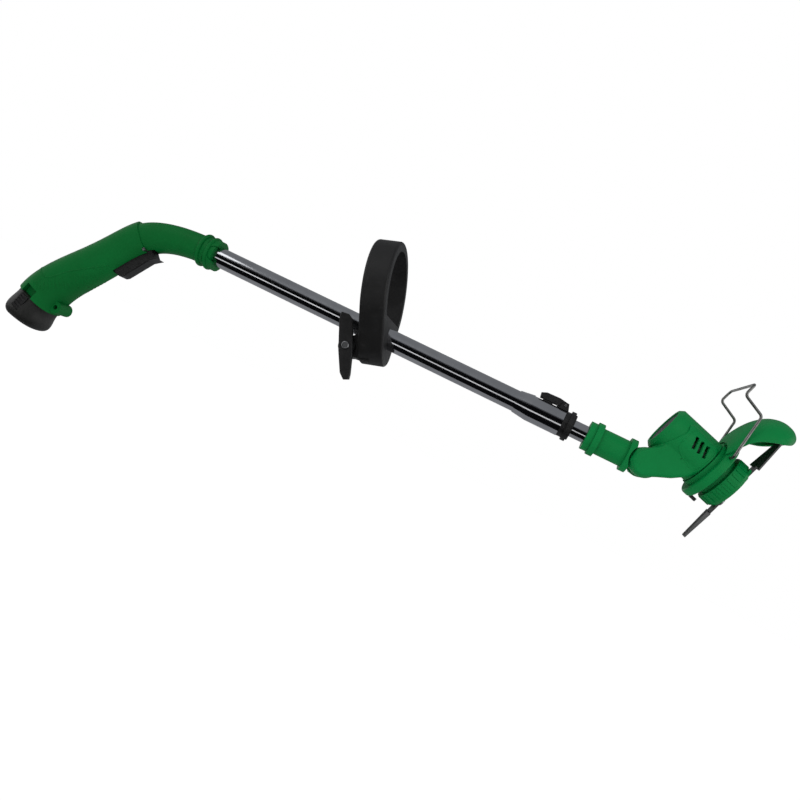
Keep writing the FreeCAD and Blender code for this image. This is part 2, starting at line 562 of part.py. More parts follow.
# ---------------------------------------------------------------- head
# Modelled in its own frame: origin at the tilt pivot, +X along the cutting axis, +Z outward to the guard.

tilt = FreeCAD.Rotation(AXIS_Y, size["head_tilt"])
head_frame = FreeCAD.Placement(V3(size["pivot_place"], 0, 0), tilt)
axis_up = size["motor_axis"]
lobe = size["lobe_radius"]
lobe_wide = size["lobe_half_width"]
barrel = size["barrel_radius"]
back = size["barrel_back"]
front = size["barrel_front"]

barrel_solid = pin_shape(barrel, V3(back + 4, 0, axis_up), front - back - 4)
barrel_solid = barrel_solid.fuse(Part.makeCone(barrel - 3.5, barrel, 4, V3(back, 0, axis_up), AXIS_X))
lobe_solid = Part.makeCylinder(lobe, 2 * lobe_wide, V3(0, -lobe_wide, 0), AXIS_Y)
lobe_solid = lobe_solid.makeFillet(4, lobe_solid.Edges[0:1] + lobe_solid.Edges[2:3])
arm_points = [(-8, 15), (-2, 24), (4, 44), (10, 62), (front - 8, 62), (front, 30), (front - 3, 20),
              (30, 6.5), (18, -4), (6, -15.8), (-2, -16.9), (-14, -9.5), (-16.5, 4)]
arm_solid = outline_solid(arm_points, 2 * lobe_wide + 12, -lobe_wide - 6)
arm_edges = [e for e in arm_solid.Edges if e.BoundBox.YLength < 0.1]
arm_solid = arm_solid.makeFillet(4.5, arm_edges)
base_solid = pin_shape(size["base_radius"], V3(front - 10, 0, axis_up), size["flange_back"] - front + 10)
step_solid = pin_shape(size["base_radius"] + 4, V3(size["flange_back"] - 5, 0, axis_up), 5)
flange_solid = pin_shape(size["flange_radius"], V3(size["flange_back"], 0, axis_up),
                         size["flange_front"] - size["flange_back"])
flange_solid = flange_solid.makeFillet(3, [e for e in flange_solid.Edges if e.BoundBox.XLength < 0.1])
head_solid = barrel_solid.fuse([lobe_solid, arm_solid, base_solid, step_solid, flange_solid])
head_solid = head_solid.removeSplitter()

wall = size["head_wall"]
motor_room = pin_shape(size["motor_radius"] + 0.3, V3(back - 1, 0, axis_up), size["motor_length"] + 14)
cap_room = pin_shape(size["cap_radius"] + 0.1, V3(back - 1, 0, axis_up), size["cap_depth"] + 4)
arm_room = outline_solid([(12, 18), (front - 12, 24), (front - 14, 44), (6, 44)], 2 * lobe_wide - 6,
                         3 - lobe_wide)
tongue_room = Part.makeCylinder(size["knuckle_radius"] + 1, size["tongue_width"] + 2 * stem_gap,
                                V3(0, -size["tongue_width"] / 2 - stem_gap, 0), AXIS_Y)
sweep_room = Part.makeBox(60, size["tongue_width"] + 2 * stem_gap, 2 * size["knuckle_radius"] + 2,
                          V3(-60, -size["tongue_width"] / 2 - stem_gap, -size["knuckle_radius"] - 1))
rooms = [tongue_room]
tilt_back = 7
tilt_on = 51
for turn in range(-tilt_back, tilt_on + 1, 2):
    swept = sweep_room.copy()
    swept.rotate(V3(), AXIS_Y, -turn - size["head_tilt"])
    rooms.append(swept)
pivot_span = lobe_wide + 4
pivot_hole = pin_shape(size["pivot_radius"] + pin_gap, V3(0, -pivot_span, 0), 2 * pivot_span, AXIS_Y)
bearing_seat = pin_shape(size["bearing_radius"] + pin_gap, V3(size["flange_back"] - 3, 0, axis_up),
                         size["bearing_width"])
shaft_hole = pin_shape(size["shaft_radius"] + 1, V3(0, 0, axis_up), 80)
under_cup = pin_shape(size["flange_radius"] - 6, V3(size["flange_front"] - 4, 0, axis_up), 10)
wire_bore = pin_shape(size["wire_radius"] + 0.08,
                      V3(size["wire_pivot_front"], -60, size["wire_pivot_up"]), 120, AXIS_Y)
head_cuts = rooms + [motor_room, cap_room, arm_room, pivot_hole, bearing_seat, shaft_hole, under_cup,
                     wire_bore]
for tool in head_cuts:
    head_solid = head_solid.cut(tool)

# vents through the raised panel on both sides
for i in range(3):
    vent = Part.makeBox(3, 120, 13, V3(-1.5, -60, -6.5))
    vent.rotate(V3(), AXIS_Y, -18)
    vent.translate(V3(front - 24 + 7 * i, 0, axis_up + 5))
    middle = Part.makeBox(200, 30, 200, V3(-100, -15, -100))
    head_solid = head_solid.cut(vent.cut(middle))

head_posts = [V3(31, 0, 13)]
head_screw_list = []
head_depth = lobe_wide + 6
for post in head_posts:
    head_solid = head_solid.cut(pin_shape(size["screw_radius"] + pin_gap, post + V3(0, -head_depth + 6, 0),
                                          2 * head_depth - 6, AXIS_Y))
    head_solid = head_solid.cut(pin_shape(size["screw_head_radius"] + 0.2,
                                          post + V3(0, head_depth - 5, 0), 10, AXIS_Y))
    shank = pin_shape(size["screw_radius"], post + V3(0, -head_depth + 6, 0), 2 * head_depth - 11, AXIS_Y)
    cap = pin_shape(size["screw_head_radius"], post + V3(0, head_depth - 5, 0), 2.2, AXIS_Y)
    head_screw_list.append(shank.fuse(cap).removeSplitter())
keep(direct("HeadRight", half(head_solid, -1)), "head_shell_right", head_frame)
keep(direct("HeadLeft", half(head_solid, 1)), "head_shell_left", head_frame)
keep(direct("HeadScrews", Part.makeCompound(head_screw_list)), "head_screw", head_frame)
tilt_bar = rod("TiltBar", "pivot_radius", "2 * lobe_half_width + 8", y="-lobe_half_width - 4", along="Y")
keep(group("TiltPin", [tilt_bar]), "tilt_pin", head_frame)

motor_can = rod("MotorCan", "motor_radius", "motor_length",
                x="barrel_back + cap_depth + 2", z="motor_axis")
motor_nose = rod("MotorNose", "bearing_radius - 1", "3",
                 x="barrel_back + cap_depth + 2 + motor_length", z="motor_axis")
motor_bore = rod("MotorBore", "shaft_radius + 0.05", "motor_length + 4",
                 x="barrel_back + cap_depth + 2", z="motor_axis")
keep(cut("Motor", fuse("MotorBody", [motor_can, motor_nose]), motor_bore), "motor", head_frame)
cap_disc = rod("CapDisc", "cap_radius", "cap_depth", x="barrel_back + 1.6", z="motor_axis")
keep(group("MotorCap", [cap_disc]), "motor_cap", head_frame)
bearing = cut("Bearing", rod("BearingOutside", "bearing_radius", "bearing_width",
                             x="flange_back - 3", z="motor_axis"),
              rod("BearingInside", "shaft_radius + 0.05", "bearing_width",
                  x="flange_back - 3", z="motor_axis"))
keep(bearing, "shaft_bearing", head_frame)
shaft = rod("MotorShaft", "shaft_radius", "cup_front - barrel_back - cap_depth - 4",
            x="barrel_back + cap_depth + 3", z="motor_axis")
keep(fuse("ShaftSet", [shaft, rod("ShaftBoss", "shaft_radius + 2.5", "3", x="cup_back + 0.4",
                                  z="motor_axis")]), "motor_shaft", head_frame)

# ---------------------------------------------------------------- cutting set

cup_radius = size["cup_radius"]
cup_length = size["cup_front"] - size["cup_back"]
cup_profile = [V3(0, 0, 4.6), V3(0, 0, size["groove_radius"]), V3(4, 0, size["groove_radius"]),
               V3(5, 0, cup_radius), V3(cup_length - 4, 0, cup_radius), V3(cup_length, 0, cup_radius - 3),
               V3(cup_length, 0, 4.6)]
cup = Part.Face(Part.makePolygon(cup_profile + cup_profile[:1])).revolve(V3(), AXIS_X, 360)
cup_hollow = pin_shape(size["groove_radius"] - size["cup_wall"], V3(-1, 0, 0), cup_length - 4)
cup_hub = pin_shape(8, V3(3.6, 0, 0), cup_length - 3.6)
cup = cup.cut(cup_hollow).fuse(cup_hub).cut(pin_shape(size["shaft_radius"] + 0.02, V3(-5, 0, 0), 40))
rib_count = int(size["cup_ribs"])
for i in range(rib_count):
    rib = Part.makeBox(cup_length - 11, 2.4, 1.6, V3(6.5, -1.2, cup_radius - 0.8))
    rib.rotate(V3(), AXIS_X, 360 * i / rib_count)
    cup = cup.fuse(rib)
for turn in (40, 220):
    tab = Part.makeBox(3, 7, 4, V3(cup_length - 5, -3.5, cup_radius - 2))
    tab.rotate(V3(), AXIS_X, turn)
    cup = cup.fuse(tab)
cup = cup.cut(pin_shape(3.2 + 1.85, V3(-5, 0, 0), 8.6)).removeSplitter()
for sign in (-1, 1):
    cup = cup.cut(pin_shape(size["blade_pin_radius"], V3(cup_length - 8, 0, sign * size["blade_pivot"]), 20))
cup.translate(V3(size["cup_back"], 0, axis_up))
keep(direct("BladeCarrier", cup), "blade_carrier", head_frame)

blade_gap = 0.2
blade_plane = size["cup_front"] + blade_gap


def blade_shape(sign):
    """A plastic blade: a flat root round its pin, then a vane set at its pitch that narrows to the tip."""
    thick = size["blade_thick"]
    root_half = size["blade_root_width"] / 2
    tip_half = size["blade_tip_width"] / 2
    twist_place = size["blade_twist_place"]
    eye = pin_shape(root_half, V3(0, 0, size["blade_pivot"]), thick)
    root = Part.makeBox(thick, 2 * root_half, twist_place + 1 - size["blade_pivot"],
                        V3(0, -root_half, size["blade_pivot"]))
    outline = [V3(-thick / 2, -root_half, twist_place), V3(-thick / 2, root_half, twist_place),
               V3(-thick / 2, tip_half, size["blade_tip"]), V3(-thick / 2, -tip_half, size["blade_tip"])]
    vane = Part.Face(Part.makePolygon(outline + outline[:1])).extrude(V3(thick, 0, 0))
    vane.rotate(V3(), AXIS_Z, size["blade_pitch"])
    vane.translate(V3(thick / 2, 0, 0))
    blade = eye.fuse(root).fuse(vane).removeSplitter()
    blade = blade.cut(pin_shape(size["blade_pin_radius"] + 0.06, V3(-10, 0, size["blade_pivot"]), 30))
    if sign < 0:
        blade.rotate(V3(), AXIS_X, 180)
    blade.translate(V3(blade_plane, 0, axis_up))
    return blade


keep(direct("BladeUpper", blade_shape(1)), "blade_upper", head_frame)
keep(direct("BladeLower", blade_shape(-1)), "blade_lower", head_frame)
pin_list = []
for sign in (-1, 1):
    at = V3(size["cup_front"] - 7, 0, axis_up + sign * size["blade_pivot"])
    stud = pin_shape(size["blade_pin_radius"], at, 7 + blade_gap + size["blade_thick"] + blade_gap)
    top = pin_shape(size["blade_pin_radius"] + 2,
                    at + V3(7 + 2 * blade_gap + size["blade_thick"], 0, 0), 1.8)
    pin_list.append(stud.fuse(top).removeSplitter())
keep(direct("BladePins", Part.makeCompound(pin_list)), "blade_pins", head_frame)
nut_set = fuse("HubNut", [rod("NutDisc", "6.5", "3", x="cup_front", z="motor_axis"),
                          rod("NutDome", "4", "2", x="cup_front + 3", z="motor_axis")])
keep(nut_set, "hub_nut", head_frame)

# ---------------------------------------------------------------- guard, cutter and wire guide

guard_r = size["guard_radius"]
thick = size["guard_thick"]
guard_line = [(size["flange_back"] + 1, size["flange_radius"] - 6), (size["flange_back"] - 1, 50),
              (53, 66), (60, 78), (72, guard_r - 2), (size["guard_front"], guard_r)]


def guard_profile(outward):
    """A smooth line across the guard, moved outward, at the given radii from the cutting axis."""
    curve = Part.BSplineCurve()
    curve.interpolate([V3(x - outward * 0.6, 0, radius + outward * 0.8) for x, radius in guard_line])
    return curve


skin_in = guard_profile(0)
skin_out = guard_profile(thick)
closing = [Part.LineSegment(skin_in.StartPoint, skin_out.StartPoint).toShape(),
           Part.LineSegment(skin_in.EndPoint, skin_out.EndPoint).toShape()]
guard_face = Part.Face(Part.Wire(Part.__sortEdges__([skin_in.toShape(), skin_out.toShape()] + closing)))
guard_angle = size["guard_half_angle"]
guard_face.rotate(V3(), AXIS_X, -guard_angle)
guard = guard_face.revolve(V3(), AXIS_X, 2 * guard_angle)
guard.translate(V3(0, 0, axis_up))
guard = guard.cut(pin_shape(size["flange_radius"] + 0.02,
                            V3(size["flange_back"] + 0.0, 0, axis_up), 40))
guard = guard.common(Part.makeBox(200, 2 * size["wire_half_width"] - 2 * size["wire_radius"] - 3, 300,
                                  V3(-50, size["wire_radius"] + 1.5 - size["wire_half_width"], 0)).fuse(
    Part.makeBox(200, 300, 300, V3(size["flange_front"] + 8, -150, 0))))
keep(direct("Guard", guard), "guard", head_frame)

cutter = Part.makeBox(7, 5, 3.4, V3(size["flange_front"], -2.5, axis_up - size["flange_radius"] + 0.6))
keep(direct("LineCutter", cutter), "line_cutter", head_frame)

pivot_x = size["wire_pivot_front"]
pivot_z = size["wire_pivot_up"]
wide_y = size["wire_half_width"]
inner_y = 26.0
route = [V3(pivot_x, -inner_y, pivot_z), V3(pivot_x, -wide_y, pivot_z), V3(44.5, -wide_y, 113),
         V3(17.5, -wide_y + 1, 118.5), V3(17.5, -wide_y + 2, 133.5)]
route = route + [V3(p.x, -p.y, p.z) for p in reversed(route)]
bend = 5.0


def rounded_path(points, radius):
    """Straight runs joined by tangent arcs."""
    edges = []
    last = points[0]
    for before, here, after in zip(points, points[1:], points[2:]):
        back_dir = (before - here).normalize()
        on_dir = (after - here).normalize()
        turn = math.pi - back_dir.getAngle(on_dir)
        reach = radius * math.tan(turn / 2)
        start = here + back_dir * reach
        end = here + on_dir * reach
        centre = here + (back_dir + on_dir).normalize() * (radius / math.cos(turn / 2))
        middle = centre + (here - centre).normalize() * radius
        edges.append(Part.LineSegment(last, start).toShape())
        edges.append(Part.Arc(start, middle, end).toShape())
        last = end
    edges.append(Part.LineSegment(last, points[-1]).toShape())
    return Part.Wire(edges)


path = rounded_path(route, bend)
ring = Part.Wire([Part.Circle(route[0], AXIS_Y, size["wire_radius"]).toShape()])
guide = path.makePipeShell([ring], True, False)
keep(direct("WireGuide", guide), "wire_guide", head_frame)

# ---------------------------------------------------------------- export

doc.recompute()
checked(doc.Objects)
os.makedirs("parts", exist_ok=True)
for item in finished:
    shape = item.Shape
    if shape.isNull() or not shape.isValid():
        raise RuntimeError("bad shape: " + item.Label)
    shape.exportStep("parts/%s.step" % item.Label)
    box = shape.BoundBox
    print("%-20s solids %d volume %9.1f  x %.0f..%.0f y %.0f..%.0f z %.0f..%.0f" % (
        item.Label, len(shape.Solids), shape.Volume, box.XMin, box.XMax, box.YMin, box.YMax,
        box.ZMin, box.ZMax))
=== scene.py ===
import math

import bmesh
import bpy
from mathutils import Matrix, Vector
from mathutils.bvhtree import BVHTree


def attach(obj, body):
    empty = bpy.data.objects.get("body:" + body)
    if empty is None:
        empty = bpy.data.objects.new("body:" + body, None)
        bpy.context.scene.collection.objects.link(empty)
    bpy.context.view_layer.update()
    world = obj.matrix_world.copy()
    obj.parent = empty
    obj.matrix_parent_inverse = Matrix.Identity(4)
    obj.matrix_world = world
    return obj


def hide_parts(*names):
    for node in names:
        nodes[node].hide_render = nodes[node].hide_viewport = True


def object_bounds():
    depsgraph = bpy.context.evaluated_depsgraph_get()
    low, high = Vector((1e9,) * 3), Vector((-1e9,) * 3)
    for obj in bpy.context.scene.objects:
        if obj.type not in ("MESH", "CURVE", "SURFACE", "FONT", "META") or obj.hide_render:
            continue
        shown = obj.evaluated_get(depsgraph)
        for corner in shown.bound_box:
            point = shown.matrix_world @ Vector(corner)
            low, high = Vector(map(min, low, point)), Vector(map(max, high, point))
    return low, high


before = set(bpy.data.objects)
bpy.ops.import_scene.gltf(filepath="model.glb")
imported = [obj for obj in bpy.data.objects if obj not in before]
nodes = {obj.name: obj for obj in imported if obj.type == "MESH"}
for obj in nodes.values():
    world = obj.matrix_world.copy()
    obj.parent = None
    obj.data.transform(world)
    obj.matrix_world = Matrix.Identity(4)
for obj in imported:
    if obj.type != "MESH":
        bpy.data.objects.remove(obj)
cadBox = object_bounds()
print("frame loaded:", len(nodes), "nodes")


def linear(hexColour):
    # sRGB hex to the linear values that the sockets take
    out = []
    for start in (1, 3, 5):
        c = int(hexColour[start:start + 2], 16) / 255
        c = c / 12.92 if c <= 0.04045 else ((c + 0.055) / 1.055) ** 2.4
        out.append(c)
    return (*out, 1.0)


def addNode(tree, kind, settings=None, inputs=None, links=None):
    node = tree.nodes.new(kind)
    for key, value in (settings or {}).items():
        setattr(node, key, value)
    for key, value in (inputs or {}).items():
        node.inputs[key].default_value = value
    for key, source in (links or {}).items():
        tree.links.new(source, node.inputs[key])
    return node


def newMaterial(name, **shader):
    material = bpy.data.materials.new(name)
    material.use_nodes = True
    tree = material.node_tree
    tree.nodes.clear()
    output = addNode(tree, "ShaderNodeOutputMaterial")
    surface = addNode(tree, "ShaderNodeBsdfPrincipled", inputs=shader)
    tree.links.new(surface.outputs[0], output.inputs["Surface"])
    coords = addNode(tree, "ShaderNodeTexCoord").outputs["Object"]
    return material, tree, surface, coords


grain = dict(driftDetail=3.0, scuffDetail=6.0, scuffRoughness=0.7, softRoughness=0.55,
             moulded=2.0, drawn=4.0)
wear = dict(scuffStart=0.58, scuffEnd=0.8, smoother=0.04, rougher=0.12, moulded=0.0002, drawn=0.0001)


def mouldedPlastic(name, look):
    # injection-moulded plastic: spark-eroded grain, slow colour drift, scuffs that turn it paler and rougher
    material, tree, surface, coords = newMaterial(
        name, **{"IOR": look["ior"], "Specular IOR Level": look["specular"]})
    drift = addNode(tree, "ShaderNodeTexNoise",
                    inputs={"Scale": 1000 / look["driftSize"], "Detail": grain["driftDetail"],
                            "Roughness": grain["softRoughness"]}, links={"Vector": coords})
    scuff = addNode(tree, "ShaderNodeTexNoise",
                    inputs={"Scale": 1000 / look["scuffSize"], "Detail": grain["scuffDetail"],
                            "Roughness": grain["scuffRoughness"]}, links={"Vector": coords})
    ramp = addNode(tree, "ShaderNodeValToRGB", links={"Fac": drift.outputs["Fac"]})
    ramp.color_ramp.elements[0].position = 0.3
    ramp.color_ramp.elements[0].color = linear(look["dark"])
    ramp.color_ramp.elements[1].position = 0.7
    ramp.color_ramp.elements[1].color = linear(look["light"])
    share = addNode(tree, "ShaderNodeMapRange",
                    inputs={"From Min": wear["scuffStart"], "From Max": wear["scuffEnd"],
                            "To Min": 0.0, "To Max": look["scuffAmount"]},
                    links={"Value": scuff.outputs["Fac"]})
    worn = addNode(tree, "ShaderNodeMix", {"data_type": "RGBA"},
                   links={"Factor": share.outputs["Result"], "A": ramp.outputs["Color"]})
    worn.inputs["B"].default_value = linear(look["scuffed"])
    tree.links.new(worn.outputs["Result"], surface.inputs["Base Color"])
    rough = addNode(tree, "ShaderNodeMapRange",
                    inputs={"From Min": 0.3, "From Max": 0.7,
                            "To Min": look["roughness"] - wear["smoother"],
                            "To Max": look["roughness"] + wear["rougher"]},
                    links={"Value": scuff.outputs["Fac"]})
    tree.links.new(rough.outputs["Result"], surface.inputs["Roughness"])
    pebble = addNode(tree, "ShaderNodeTexNoise",
                     inputs={"Scale": 1000 / look["grainSize"], "Detail": grain["moulded"],
                             "Roughness": grain["softRoughness"]}, links={"Vector": coords})
    bump = addNode(tree, "ShaderNodeBump",
                   inputs={"Strength": look["grainDepth"], "Distance": wear["moulded"]},
                   links={"Height": pebble.outputs["Fac"]})
    tree.links.new(bump.outputs["Normal"], surface.inputs["Normal"])
    return material


def plated(name, look):
    # plated metal: mirror under a few hair scratches and faint handling haze
    material, tree, surface, coords = newMaterial(
        name, Metallic=1.0, **{"Base Color": linear(look["colour"])})
    stretched = addNode(tree, "ShaderNodeMapping", inputs={"Scale": look["along"]},
                        links={"Vector": coords})
    lines = addNode(tree, "ShaderNodeTexNoise",
                    inputs={"Scale": 1000 / look["lineSize"], "Detail": grain["drawn"],
                            "Roughness": grain["softRoughness"]},
                    links={"Vector": stretched.outputs["Vector"]})
    haze = addNode(tree, "ShaderNodeTexNoise",
                   inputs={"Scale": 1000 / look["hazeSize"], "Detail": grain["drawn"],
                           "Roughness": grain["softRoughness"]}, links={"Vector": coords})
    cloud = addNode(tree, "ShaderNodeMapRange",
                    inputs={"From Min": 0.3, "From Max": 0.7, "To Min": 0.0, "To Max": look["haze"]},
                    links={"Value": haze.outputs["Fac"]})
    scratch = addNode(tree, "ShaderNodeMapRange",
                      inputs={"From Min": 0.3, "From Max": 0.7, "To Min": look["roughness"],
                              "To Max": look["roughness"] + look["scratch"]},
                      links={"Value": lines.outputs["Fac"]})
    rough = addNode(tree, "ShaderNodeMath", {"operation": "ADD"},
                    links={0: cloud.outputs["Result"], 1: scratch.outputs["Result"]})
    tree.links.new(rough.outputs[0], surface.inputs["Roughness"])
    share = addNode(tree, "ShaderNodeMapRange",
                    inputs={"From Min": 0.35, "From Max": 0.75, "To Min": 0.0, "To Max": 1.0},
                    links={"Value": haze.outputs["Fac"]})
    tone = addNode(tree, "ShaderNodeMix", {"data_type": "RGBA"},
                   links={"Factor": share.outputs["Result"]})
    tone.inputs["A"].default_value = linear(look["colour"])
    tone.inputs["B"].default_value = linear(look["dull"])
    tree.links.new(tone.outputs["Result"], surface.inputs["Base Color"])
    bump = addNode(tree, "ShaderNodeBump",
                   inputs={"Strength": look["lineDepth"], "Distance": wear["drawn"]},
                   links={"Height": lines.outputs["Fac"]})
    tree.links.new(bump.outputs["Normal"], surface.inputs["Normal"])
    return material


plasticLooks = {
    # ABS from a satin mould, in a deep green: soft wide highlights, no sparkle
    "greenAbsHandle": dict(dark="#005a24", light="#00632a", scuffed="#0c6a34", scuffAmount=0.15, ior=1.5,
                           specular=0.1, roughness=0.46, driftSize=60, scuffSize=14, grainSize=0.9,
                           grainDepth=0.25),
    "greenAbsHead": dict(dark="#007236", light="#007b3d", scuffed="#0c8543", scuffAmount=0.15, ior=1.5,
                         specular=0.12, roughness=0.42, driftSize=55, scuffSize=12, grainSize=0.8,
                         grainDepth=0.22),
    # glass-filled nylon: near black, dry and slightly grey where it is rubbed
    "blackNylonLoop": dict(dark="#0e0e0e", light="#161617", scuffed="#3a3a3b", scuffAmount=0.35, ior=1.53,
                           specular=0.4, roughness=0.5, driftSize=45, scuffSize=9, grainSize=0.9,
                           grainDepth=0.35),
    "blackNylonLevers": dict(dark="#0d0d0e", light="#161617", scuffed="#333334", scuffAmount=0.3, ior=1.53,
                             specular=0.45, roughness=0.42, driftSize=20, scuffSize=6, grainSize=0.7,
                             grainDepth=0.3),
    # battery case: polycarbonate blend with a coarse pebble grain that hides finger marks
    "pebbledBatteryCase": dict(dark="#111210", light="#1a1b19", scuffed="#454642", scuffAmount=0.4, ior=1.55,
                               specular=0.5, roughness=0.48, driftSize=30, scuffSize=7, grainSize=1.3,
                               grainDepth=0.7),
    # blades and their carrier: impact-grade nylon, semi-gloss with a trace of grass dust
    "nylonBlade": dict(dark="#1b1d1c", light="#2a2c2b", scuffed="#5b5f5b", scuffAmount=0.35, ior=1.53,
                       specular=0.6, roughness=0.34, driftSize=18, scuffSize=5, grainSize=1.0,
                       grainDepth=0.2),
    # motor end cap: dark grey ABS, matt
    "greyAbsCap": dict(dark="#27302d", light="#323c39", scuffed="#66706c", scuffAmount=0.3, ior=1.5,
                       specular=0.45, roughness=0.45, driftSize=20, scuffSize=6, grainSize=0.8,
                       grainDepth=0.25),
    # acetal guide parts inside the pole: milky black, waxy
    "acetalBush": dict(dark="#1c1c1e", light="#262628", scuffed="#48484a", scuffAmount=0.2, ior=1.48,
                       specular=0.5, roughness=0.38, driftSize=15, scuffSize=5, grainSize=0.6,
                       grainDepth=0.15),
}
metalLooks = {
    # chrome plate on drawn steel tube: a clear mirror with lengthwise draw lines
    "chromePlatedTube": dict(colour="#cfd0d3", dull="#bdbec2", roughness=0.05, scratch=0.05, haze=0.04,
                             along=(0.03, 1, 1), lineSize=0.6, hazeSize=30, lineDepth=0.03),
    # bright zinc on bent spring wire: bluish white, slightly frosted
    "zincPlatedWire": dict(colour="#8f908e", dull="#6c6c68", roughness=0.26, scratch=0.1, haze=0.1,
                           along=(1, 1, 1), lineSize=0.8, hazeSize=9, lineDepth=0.06),
    # turned and zinc-plated fixings
    "brightSteelFixings": dict(colour="#b9bbbd", dull="#8f9193", roughness=0.24, scratch=0.1, haze=0.08,
                               along=(1, 1, 1), lineSize=0.4, hazeSize=5, lineDepth=0.1),
    # motor can: drawn steel strip, brushed
    "drawnSteelMotorCan": dict(colour="#a9abad", dull="#85878a", roughness=0.32, scratch=0.12, haze=0.08,
                               along=(0.1, 1, 1), lineSize=0.5, hazeSize=8, lineDepth=0.15),
}
materials = {name: mouldedPlastic(name, look) for name, look in plasticLooks.items()}
materials.update({name: plated(name, look) for name, look in metalLooks.items()})

nodeFinish = {
    "greenAbsHandle": ["handle_shell_right", "handle_shell_left"],
    "greenAbsHead": ["neck_collar", "head_shell_right", "head_shell_left", "guard",
                     "blade_carrier"],
    "blackNylonLoop": ["loop_handle", "lever_bracket"],
    "blackNylonLevers": ["trigger", "clamp_lever", "lock_lever", "end_collar", "power_switch",
                         "contact_block", "line_cutter", "latch_right", "latch_left"],
    "pebbledBatteryCase": ["battery_pack"],
    "nylonBlade": ["blade_upper", "blade_lower"],
    "greyAbsCap": ["motor_cap"],
    "acetalBush": ["guide_bush", "inner_stop", "tube_plug"],
    "chromePlatedTube": ["outer_tube", "lock_sleeve", "inner_tube"],
    "zincPlatedWire": ["wire_guide"],
    "brightSteelFixings": ["lever_pin", "handle_screws", "trigger_pin", "clamp_bolt", "clamp_nut",
                           "head_screw", "tilt_pin", "motor_shaft", "hub_nut", "blade_pins",
                           "shaft_bearing"],
    "drawnSteelMotorCan": ["motor"],
}
for finish, names in nodeFinish.items():
    for name in names:
        nodes[name].data.materials.clear()
        nodes[name].data.materials.append(materials[finish])
print("materials:", len(materials))


# places and sizes in metres, lamp power in watts
studio = dict(floorDrop=0.14, floorSize=8.0, floorMiddle=0.28, ambient=0.62, glow=1.12, glowShare=0.8,
              tentLift=0.004,
              softboxes=[("keySoftbox", (-0.5, -1.3, 1.1), (0.3, 0, -0.05), 1.4, 9.0),
                         ("fillSoftbox", (1.4, -1.2, 0.5), (0.5, 0, 0), 1.0, 5.0),
                         ("rimSoftbox", (0.4, 1.3, 1.0), (0.3, 0, -0.05), 1.3, 4.0)])


def areaLight(name, place, target, size, power):
    data = bpy.data.lights.new(name, "AREA")
    data.shape = "RECTANGLE"
    data.size = size
    data.size_y = size
    data.energy = power
    light = bpy.data.objects.new(name, data)
    bpy.context.scene.collection.objects.link(light)
    light.location = place
    light.rotation_euler = (Vector(target) - Vector(place)).to_track_quat("-Z", "Y").to_euler()


def backgroundRays(tree):
    # 1 for camera, mirror and see-through rays, so metal shows the same backdrop as the camera, except where
    # the glossTent's painted reflection covers it
    path = addNode(tree, "ShaderNodeLightPath")
    either = addNode(tree, "ShaderNodeMath", {"operation": "MAXIMUM"},
                     links={0: path.outputs["Is Camera Ray"], 1: path.outputs["Is Glossy Ray"]})
    return addNode(tree, "ShaderNodeMath", {"operation": "MAXIMUM"},
                   links={0: either.outputs[0], 1: path.outputs["Is Transmission Ray"]}).outputs[0]


def glossTent():
    # studio tent that only mirror rays see, a painted reflection: its glowing cards cover the white backdrop
    # in the chrome and paint the pale and dark bands and a bright streak along it
    tent = dict(centre=(0.28, 0, 0), radius=1.6, halfWidth=2.2,
                # painted reflection bands around the pole: near black in front, grey from overhead to behind
                bands=[(-14, 20, "#08080a"), (20, 28, "#46474a"), (28, 176, "#808285")],
                # painted reflection on the ground: dark, a white strip that paints the bright streak on the
                # chrome, dark, then grey behind
                ground=[(-1.6, -0.98, "#09090b"), (-0.98, -0.6, "#f4f4f4"), (-0.6, -0.05, "#0c0c0e"),
                        (-0.05, 1.6, "#8c8d90")])
    mesh = bpy.data.meshes.new("glossTent")
    bm = bmesh.new()
    shades = []

    def band(verts, action):
        before = set(bm.faces)
        edge = bm.edges.new(verts)
        action(edge)
        for face in set(bm.faces) - before:
            face.material_index = len(shades) - 1

    for start, end, shade in tent["bands"]:
        shades.append(shade)
        turn = math.radians(start)
        y, z = -tent["radius"] * math.cos(turn), tent["radius"] * math.sin(turn)
        pair = [bm.verts.new((tent["centre"][0] + side * tent["halfWidth"], y, z)) for side in (-1, 1)]
        band(pair, lambda edge, start=start, end=end: bmesh.ops.spin(
            bm, geom=[edge, *edge.verts], cent=tent["centre"], axis=(1, 0, 0),
            angle=-math.radians(end - start), steps=max(2, (end - start) // 8)))
    floorHeight = cadBox[0][2] - studio["floorDrop"] + studio["tentLift"]
    for near, far, shade in tent["ground"]:
        shades.append(shade)
        # the white strip is kept short, so its painted highlight streak falls on one stretch of the pole
        wide = (0.1, 0.62) if shade == "#f4f4f4" else (-1.9, 2.5)
        pair = [bm.verts.new((x, near, floorHeight)) for x in wide]

        def reach(edge, near=near, far=far):
            grown = bmesh.ops.extrude_edge_only(bm, edges=[edge])["geom"]
            moved = [item for item in grown if isinstance(item, bmesh.types.BMVert)]
            bmesh.ops.translate(bm, vec=(0, far - near, 0), verts=moved)

        band(pair, reach)
    bm.to_mesh(mesh)
    bm.free()
    for i, shade in enumerate(shades):
        material = bpy.data.materials.new("paintedReflectionBand%d" % i)
        material.use_nodes = True
        tree = material.node_tree
        tree.nodes.clear()
        output = addNode(tree, "ShaderNodeOutputMaterial")
        # each band glows in its shade though it is no lamp: painted reflection
        glow = addNode(tree, "ShaderNodeEmission", inputs={"Color": linear(shade), "Strength": 1.0})
        tree.links.new(glow.outputs[0], output.inputs["Surface"])
        mesh.materials.append(material)
    card = bpy.data.objects.new("glossTent", mesh)
    bpy.context.scene.collection.objects.link(card)
    card.visible_camera = False
    card.visible_diffuse = False
    card.visible_transmission = False
    card.visible_volume_scatter = False
    card.visible_shadow = False


